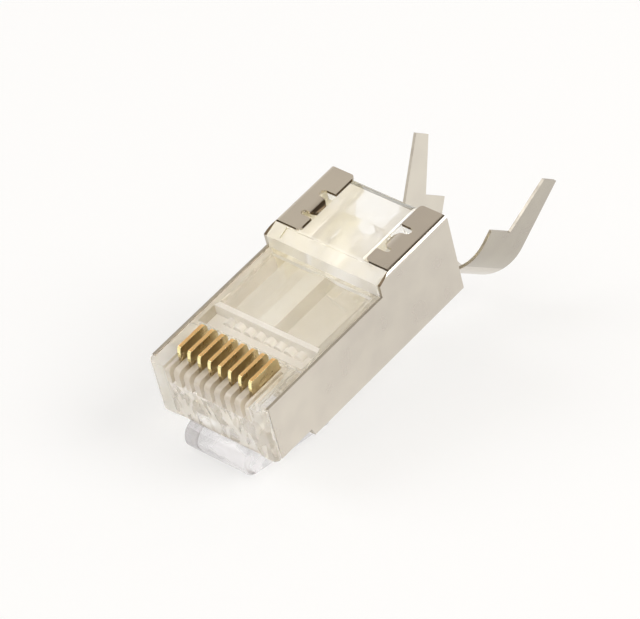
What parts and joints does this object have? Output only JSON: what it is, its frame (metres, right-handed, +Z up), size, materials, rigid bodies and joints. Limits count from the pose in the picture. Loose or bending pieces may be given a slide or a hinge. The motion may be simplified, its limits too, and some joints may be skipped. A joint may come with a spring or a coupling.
{
  "type": "shielded modular plug",
  "caption": "Shielded eight-position modular plug, clear housing in a folded metal shield, raised contacts, latch below, open cable-clamp wings at the rear.",
  "frame": {"origin": "middle of the underside of the plug's box, as it lies on a table on the flat underside of its latch", "axes": "+X across the plug, +Y towards the cable end, +Z up; the body is nose down by the latch's 13 degrees"},
  "size_m": [0.0116, 0.0346, 0.0141],
  "materials": {
    "housing": "clear polycarbonate, polished",
    "shield": "satin nickel plate on folded sheet",
    "contact": "gold plate over nickel, polished"
  },
  "bodies": {
    "plug_body": {"housing": "housing", "shield": "shield"},
    "latch": {"latch": "housing"},
    "contact_1": {"contact_1": "contact"},
    "contact_2": {"contact_2": "contact"},
    "contact_3": {"contact_3": "contact"},
    "contact_4": {"contact_4": "contact"},
    "contact_5": {"contact_5": "contact"},
    "contact_6": {"contact_6": "contact"},
    "contact_7": {"contact_7": "contact"},
    "contact_8": {"contact_8": "contact"}
  },
  "joints": [
    {"name": "latch_flex", "type": "hinge", "parent": "plug_body", "child": "latch", "pos_m": [0, -0.0155, 0.00132], "axis": [1, 0, 0], "range_deg": [0, 15], "stiffness_Nm_per_rad": 0.35},
    {"name": "contact_1_crimp", "type": "slide", "parent": "plug_body", "child": "contact_1", "axis": [0, 0.225, -0.9744], "range_m": [0, 0.00135]},
    {"name": "contact_2_crimp", "type": "slide", "parent": "plug_body", "child": "contact_2", "axis": [0, 0.225, -0.9744], "range_m": [0, 0.00135]},
    {"name": "contact_3_crimp", "type": "slide", "parent": "plug_body", "child": "contact_3", "axis": [0, 0.225, -0.9744], "range_m": [0, 0.00135]},
    {"name": "contact_4_crimp", "type": "slide", "parent": "plug_body", "child": "contact_4", "axis": [0, 0.225, -0.9744], "range_m": [0, 0.00135]},
    {"name": "contact_5_crimp", "type": "slide", "parent": "plug_body", "child": "contact_5", "axis": [0, 0.225, -0.9744], "range_m": [0, 0.00135]},
    {"name": "contact_6_crimp", "type": "slide", "parent": "plug_body", "child": "contact_6", "axis": [0, 0.225, -0.9744], "range_m": [0, 0.00135]},
    {"name": "contact_7_crimp", "type": "slide", "parent": "plug_body", "child": "contact_7", "axis": [0, 0.225, -0.9744], "range_m": [0, 0.00135]},
    {"name": "contact_8_crimp", "type": "slide", "parent": "plug_body", "child": "contact_8", "axis": [0, 0.225, -0.9744], "range_m": [0, 0.00135]}
  ]
}
